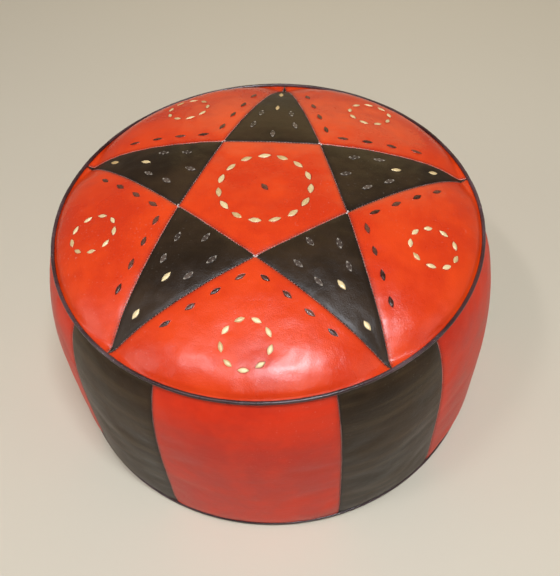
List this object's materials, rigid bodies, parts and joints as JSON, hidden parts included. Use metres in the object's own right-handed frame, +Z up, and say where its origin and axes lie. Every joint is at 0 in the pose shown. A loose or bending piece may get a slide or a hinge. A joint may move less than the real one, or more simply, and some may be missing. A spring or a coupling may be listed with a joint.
{
  "type": "leather pouf",
  "caption": "Round stuffed leather footstool with a domed patchwork top, laced star inlay, two-colour side panels, piped seams and a zip opening underneath.",
  "frame": {"origin": "centre of the underside, on the floor", "axes": "+Z up along the pouf's axis; one tip of the five-pointed star points at +Y, so one red petal and one red side panel face -Y; the zip underneath runs along X"},
  "size_m": [0.548, 0.548, 0.3078],
  "materials": {
    "leather_red": "satin",
    "leather_black": "satin",
    "leather_piping": "satin",
    "leather_base": "matt",
    "lace_gold": "metallic sheen",
    "lace_dark": "satin",
    "zip_tape": "matt",
    "zip_metal": "satin",
    "stuffing": "matt"
  },
  "bodies": {
    "pouf": {"base_panel_back": "leather_base", "base_panel_front": "leather_base", "base_piping": "leather_piping", "centre_pentagon": "leather_red", "centre_ring_lace": "lace_gold", "middle_lace": "lace_dark", "petal_1": "leather_red", "petal_2": "leather_red", "petal_3": "leather_red", "petal_4": "leather_red", "petal_5": "leather_red", "petal_ring_lace_1": "lace_gold", "petal_ring_lace_2": "lace_gold", "petal_ring_lace_3": "lace_gold", "petal_ring_lace_4": "lace_gold", "petal_ring_lace_5": "lace_gold", "petal_row_lace_1": "lace_dark", "petal_row_lace_2": "lace_dark", "petal_row_lace_3": "lace_dark", "petal_row_lace_4": "lace_dark", "petal_row_lace_5": "lace_dark", "point_dark_lace_1": "lace_dark", "point_dark_lace_2": "lace_dark", "point_dark_lace_3": "lace_dark", "point_dark_lace_4": "lace_dark", "point_dark_lace_5": "lace_dark", "point_gold_lace_1": "lace_gold", "point_gold_lace_2": "lace_gold", "point_gold_lace_3": "lace_gold", "point_gold_lace_4": "lace_gold", "point_gold_lace_5": "lace_gold", "rim_piping": "leather_piping", "side_panel_black_1": "leather_black", "side_panel_black_2": "leather_black", "side_panel_black_3": "leather_black", "side_panel_black_4": "leather_black", "side_panel_black_5": "leather_black", "side_panel_red_1": "leather_red", "side_panel_red_2": "leather_red", "side_panel_red_3": "leather_red", "side_panel_red_4": "leather_red", "side_panel_red_5": "leather_red", "star_point_1": "leather_black", "star_point_2": "leather_black", "star_point_3": "leather_black", "star_point_4": "leather_black", "star_point_5": "leather_black", "stuffing": "stuffing", "zip_bottom_stop": "zip_metal", "zip_facing_back": "leather_base", "zip_facing_front": "leather_base", "zip_tape_back": "zip_tape", "zip_tape_front": "zip_tape", "zip_teeth_back": "zip_metal", "zip_teeth_front": "zip_metal", "zip_top_stop_back": "zip_metal", "zip_top_stop_front": "zip_metal"},
    "slider": {"zip_slider": "zip_metal"},
    "pull": {"zip_pull": "zip_metal"}
  },
  "joints": [
    {"name": "zip_slide", "type": "slide", "parent": "pouf", "child": "slider", "axis": [1, 0, 0], "range_m": [-0.2483, 0]},
    {"name": "zip_pull_hinge", "type": "hinge", "parent": "slider", "child": "pull", "pos_m": [0.1244, 0, 0.0017], "axis": [0, 1, 0], "range_deg": [0, 170]}
  ]
}
